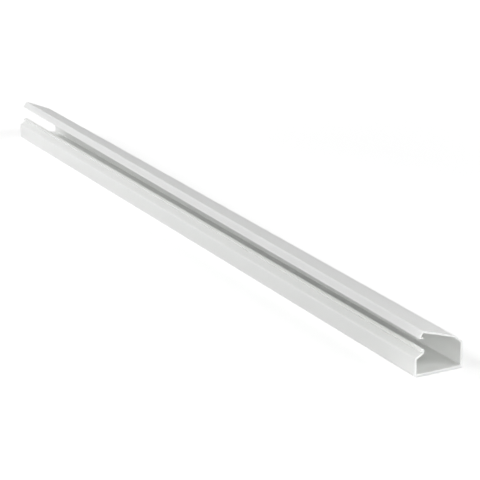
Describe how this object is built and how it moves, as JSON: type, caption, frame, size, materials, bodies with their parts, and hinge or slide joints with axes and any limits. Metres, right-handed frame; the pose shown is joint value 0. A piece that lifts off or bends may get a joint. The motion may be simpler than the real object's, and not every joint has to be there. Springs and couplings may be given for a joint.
{
  "type": "cord cover raceway",
  "caption": "Length of one-piece hinged-lid cord cover raceway: C-shaped channel with a latching lid ajar, open at both ends.",
  "frame": {"origin": "middle of the mounting floor's underside", "axes": "+X along the length, +Y from the latching front wall to the hinged back wall, +Z from the mounting floor up to the lid"},
  "size_m": [0.61, 0.032, 0.0301],
  "materials": {
    "rigid_pvc": "satin extruded rigid PVC, cool off-white, with faint draw lines along the length"
  },
  "bodies": {
    "root": {"raceway": "rigid_pvc"}
  },
  "joints": []
}
